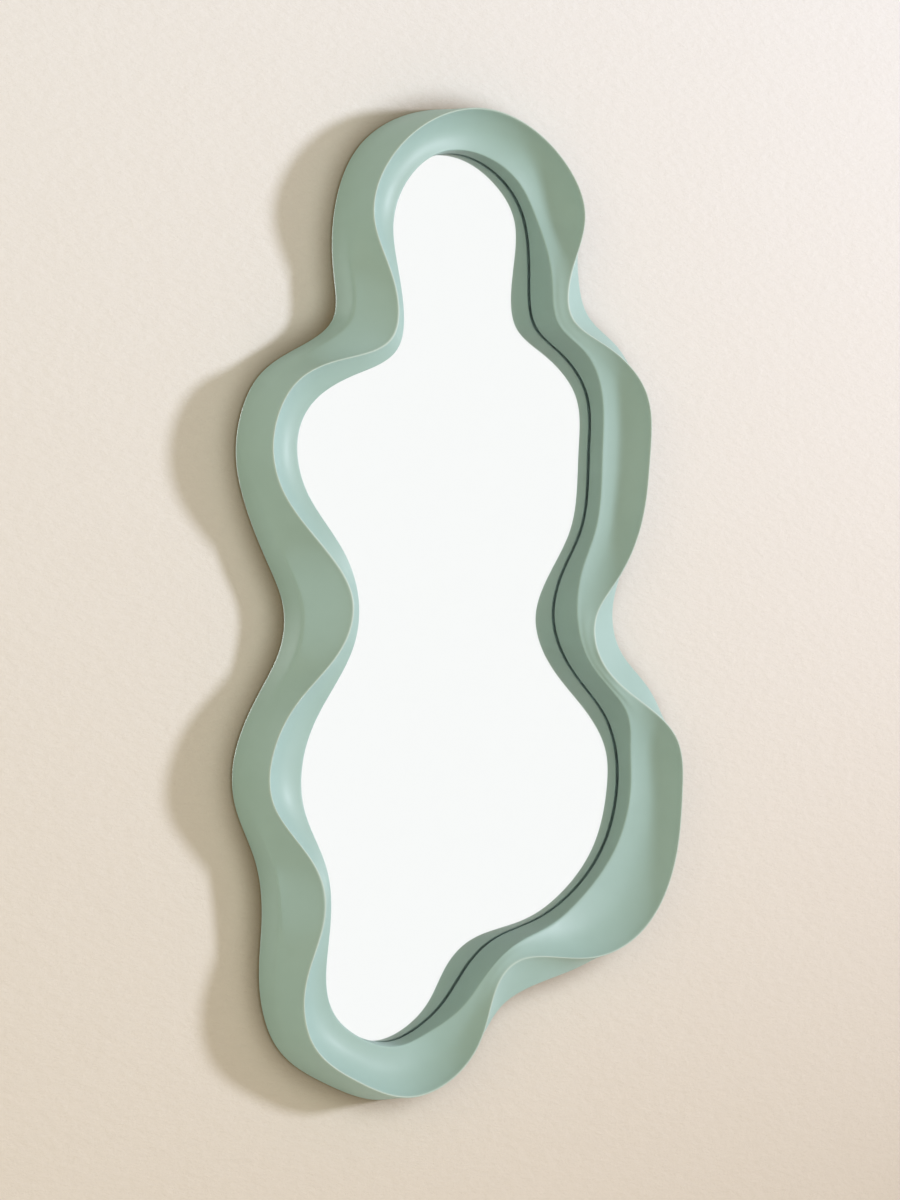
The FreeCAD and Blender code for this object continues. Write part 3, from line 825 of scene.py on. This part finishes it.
def screwSeats(node):
    # the middle of each screw's head in a CAD group, from its loose triangles
    points = np.array([v.co for v in nodes[node].data.vertices])
    low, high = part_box(node)
    heads = points[points[:, 1] > high.y - screwSizes["headHeight"] * screwSizes["headTopShare"]]
    seats = []
    for x, y, z in heads:
        near = next((s for s in seats if math.dist((x, z), s[0]) < screwSizes["headRadius"] * 2), None)
        if near is None:
            seats.append(((x, z), [(x, z)]))
        else:
            near[1].append((x, z))
    middles = []
    for first, members in seats:
        xs, zs = [m[0] for m in members], [m[1] for m in members]
        middles.append(((min(xs) + max(xs)) / 2, high.y - screwSizes["headHeight"], (min(zs) + max(zs)) / 2))
    return middles


def addScrews(name, node, length, seed):
    seats = bpy.data.meshes.new(name)
    seats.from_pydata(screwSeats(node), [], [])
    obj = addObject(name, seats)
    pattern = screwPattern(name + "Pattern", length)
    modifier = obj.modifiers.new("setScrews", "NODES")
    modifier.node_group = scatterTree
    inputs = {item.name: item.identifier for item in scatterTree.interface.items_tree
              if item.in_out == "INPUT"}
    modifier[inputs["Pattern"]] = pattern
    modifier[inputs["Scale"]] = 1.0
    modifier[inputs["Seed"]] = seed
    modifier[inputs["Material"]] = zinc
    applyModifiers(obj)
    bpy.data.objects.remove(pattern)
    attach(obj, "mirror")
    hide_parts(node)
    return obj


# name, node, length and seed of each group
screwGroups = (
    ("boardScrews", "board_screws", 0.010, 3),
    ("hangerScrewsLeft", "hanger_screws_left", 0.008, 5),
    ("hangerScrewsRight", "hanger_screws_right", 0.008, 8),
)
for group in screwGroups:
    addScrews(*group)
print("screws set")


# CAD nodes that stay: merged and smoothed by a Geometry Nodes modifier, with their own finish

smoothing = {"mergeDistance": 0.000002, "sharpAngle": 30}
nodeFinishes = {
    "back_board": board, "hanger_strap": strapSteel, "hanger_ring": ringSteel,
    "foam_tape": foam, "wall_pad": felt,
}


def makeSmoothTree():
    tree = bpy.data.node_groups.new("mergeAndSmooth", "GeometryNodeTree")
    tree.interface.new_socket(name="Geometry", in_out="INPUT", socket_type="NodeSocketGeometry")
    angle = tree.interface.new_socket(name="Sharp Angle", in_out="INPUT", socket_type="NodeSocketFloat")
    angle.default_value = math.radians(smoothing["sharpAngle"])
    tree.interface.new_socket(name="Geometry", in_out="OUTPUT", socket_type="NodeSocketGeometry")
    start = addNode(tree, "NodeGroupInput")
    end = addNode(tree, "NodeGroupOutput")
    merge = addNode(tree, "GeometryNodeMergeByDistance")
    merge.inputs["Distance"].default_value = smoothing["mergeDistance"]
    edge = addNode(tree, "GeometryNodeInputMeshEdgeAngle")
    sharp = addNode(tree, "FunctionNodeCompare", data_type="FLOAT", operation="LESS_THAN")
    faces = addNode(tree, "GeometryNodeSetShadeSmooth", domain="FACE")
    edges = addNode(tree, "GeometryNodeSetShadeSmooth", domain="EDGE")
    link = tree.links.new
    link(start.outputs["Geometry"], merge.inputs["Geometry"])
    link(merge.outputs["Geometry"], faces.inputs["Geometry"])
    link(faces.outputs["Geometry"], edges.inputs["Geometry"])
    link(edge.outputs["Unsigned Angle"], sharp.inputs["A"])
    link(start.outputs["Sharp Angle"], sharp.inputs["B"])
    link(sharp.outputs["Result"], edges.inputs["Shade Smooth"])
    link(edges.outputs["Geometry"], end.inputs["Geometry"])
    return tree


smoothTree = makeSmoothTree()


def finishNode(node, material):
    obj = nodes[node]
    obj.data.materials.clear()
    obj.data.materials.append(material)
    modifier = obj.modifiers.new("mergeAndSmooth", "NODES")
    modifier.node_group = smoothTree


for node in nodes:
    for start, material in nodeFinishes.items():
        if node.startswith(start):
            finishNode(node, material)
print("kept nodes finished")


# Wall, floor and light

studio = {
    # wallLow and wallFade: painted shade, the wall darker and warmer towards the floor
    "wallHigh": (0.828, 0.842, 0.835), "wallLow": (0.710, 0.662, 0.575), "wallFade": (-0.75, 0.15),
    # contactReach, contactOpen and contactShade: painted contact shadow beside the frame
    "contactReach": 0.024, "contactOpen": (0.45, 0.95), "contactShade": (0.26, 0.19, 0.12),
    "floorColor": (0.80, 0.76, 0.69), "sheetRoughness": 0.9,
    "wallY": 0.0004, "wallTop": 3, "roomHalf": 4, "floorHalf": 5, "floorZ": -1.05,
    "wallCloud": (2.5, 26, 0.35), "cloudDrift": 0.25,
    "trowelScale": 90, "trowelStretch": (1, 1, 2.0), "trowelTurn": (0, 0.6, 0),
    "plasterStrength": 0.6, "plasterGrain": 0.0016,
    "worldStrength": 0.554, "worldColor": (1.0, 0.832, 0.697), "seenWhite": 1.0, "glossShare": 0.42,
    "keyPlace": (4.03, -2.85, 0.23), "keyAim": (-0.1, 0, -0.04), "keyRadius": 0.3, "keyCone": 34,
    "keyPower": 810, "keyColor": (0.861, 0.878, 1.0),
    "fillPlace": (-1.95, -1.85, 0.2), "fillSize": 1.6, "fillPower": 11.5, "fillColor": (0.97, 1.0, 0.72),
    "backPlace": (-0.35, 2.4, 0.05), "backSize": 1.2, "backPower": 40, "backColor": (1, 1, 1),
    "middle": (0, 0, -0.28),
}


def addSheet(name, corners, color):
    mesh = bpy.data.meshes.new(name)
    mesh.from_pydata(corners, [], [(0, 1, 2, 3)])
    material, tree, shader = newMaterial(name)
    shader.inputs["Base Color"].default_value = (*color, 1)
    shader.inputs["Roughness"].default_value = studio["sheetRoughness"]
    mesh.materials.append(material)
    obj = addObject(name, mesh)
    return obj, tree, shader


def addWall():
    y, half, low, high = studio["wallY"], studio["roomHalf"], studio["floorZ"], studio["wallTop"]
    corners = [(-half, y, low), (half, y, low), (half, y, high), (-half, y, high)]
    wall, tree, shader = addSheet("backdropWall", corners, studio["wallHigh"])
    place = objectCoordinates(tree)
    cloud = addCloud(tree, place, *studio["wallCloud"])
    parts = addNode(tree, "ShaderNodeSeparateXYZ")
    tree.links.new(place, parts.inputs["Vector"])
    # painted shade: the plaster turns darker and warmer towards the floor, its edge broken up by the cloud
    height = addMath(tree, "MULTIPLY_ADD", cloud, studio["cloudDrift"])
    tree.links.new(parts.outputs["Z"], height.node.inputs[2])
    fadeLow, fadeHigh = studio["wallFade"]
    fade = addRange(tree, height, fadeLow, fadeHigh + studio["cloudDrift"], 0, 1)
    shadedPlaster = addMix(tree, fade, studio["wallLow"], studio["wallHigh"])
    # painted contact shadow: a soft dark line on the plaster where something stands against it
    near = addNode(tree, "ShaderNodeAmbientOcclusion", samples=12)
    near.inputs["Distance"].default_value = studio["contactReach"]
    clear = addRange(tree, near.outputs["AO"], *studio["contactOpen"], 0, 1)
    tree.links.new(addMix(tree, clear, studio["contactShade"], shadedPlaster), shader.inputs["Base Color"])
    strokes = objectCoordinates(tree, studio["trowelStretch"], studio["trowelTurn"])
    trowel = addNoise(tree, strokes, studio["trowelScale"], 6, 0.6)
    addBump(tree, shader, trowel, studio["plasterStrength"], studio["plasterGrain"])
    # seen only from the room side, so that the back of the mirror can be looked at
    geometry = addNode(tree, "ShaderNodeNewGeometry")
    through = addNode(tree, "ShaderNodeBsdfTransparent")
    mix = addNode(tree, "ShaderNodeMixShader")
    output = next(n for n in tree.nodes if n.type == "OUTPUT_MATERIAL")
    tree.links.new(geometry.outputs["Backfacing"], mix.inputs["Fac"])
    tree.links.new(shader.outputs["BSDF"], mix.inputs[1])
    tree.links.new(through.outputs["BSDF"], mix.inputs[2])
    tree.links.new(mix.outputs["Shader"], output.inputs["Surface"])
    wall.visible_shadow = False


def addFloor():
    x, y, z = studio["roomHalf"], studio["floorHalf"], studio["floorZ"]
    corners = [(-x, -y, z), (x, -y, z), (x, y, z), (-x, y, z)]
    floor = addSheet("paleFloor", corners, studio["floorColor"])[0]
    floor.visible_glossy = False
    floor.visible_transmission = False


def placeLamp(lamp, place, aim):
    obj = bpy.data.objects.new(lamp.name, lamp)
    obj.location = place
    obj.rotation_euler = (Vector(aim) - Vector(place)).to_track_quat("-Z", "Y").to_euler()
    bpy.context.scene.collection.objects.link(obj)


def addKey():
    lamp = bpy.data.lights.new("key", "SPOT")
    lamp.energy = studio["keyPower"]
    lamp.shadow_soft_size = studio["keyRadius"]
    lamp.spot_size = math.radians(studio["keyCone"])
    lamp.spot_blend = 1
    lamp.color = studio["keyColor"]
    placeLamp(lamp, studio["keyPlace"], studio["keyAim"])


def addPanel(name):
    lamp = bpy.data.lights.new(name, "AREA")
    lamp.shape = "SQUARE"
    lamp.size = studio[name + "Size"]
    lamp.energy = studio[name + "Power"]
    lamp.color = studio[name + "Color"]
    placeLamp(lamp, studio[name + "Place"], studio["middle"])


def addWorld():
    world = bpy.data.worlds.new("studio")
    bpy.context.scene.world = world
    world.use_nodes = True
    tree = world.node_tree
    light = tree.nodes["Background"]
    light.inputs["Color"].default_value = (*studio["worldColor"], 1)
    light.inputs["Strength"].default_value = studio["worldStrength"]
    white = addNode(tree, "ShaderNodeBackground")
    white.inputs["Color"].default_value = (1, 1, 1, 1)
    white.inputs["Strength"].default_value = studio["seenWhite"]
    path = addNode(tree, "ShaderNodeLightPath")
    seen = addMath(tree, "MAXIMUM", path.outputs["Is Camera Ray"], path.outputs["Is Transmission Ray"])
    gloss = addMath(tree, "MULTIPLY", path.outputs["Is Glossy Ray"], studio["glossShare"])
    seen = addMath(tree, "MAXIMUM", seen, gloss)
    mix = addNode(tree, "ShaderNodeMixShader")
    tree.links.new(seen, mix.inputs["Fac"])
    tree.links.new(light.outputs["Background"], mix.inputs[1])
    tree.links.new(white.outputs["Background"], mix.inputs[2])
    output = next(n for n in tree.nodes if n.type == "OUTPUT_WORLD")
    tree.links.new(mix.outputs["Shader"], output.inputs["Surface"])


addWall()
addFloor()
addKey()
addPanel("fill")
addPanel("back")
addWorld()
bpy.context.scene.view_settings.view_transform = "Standard"
print("studio lit")
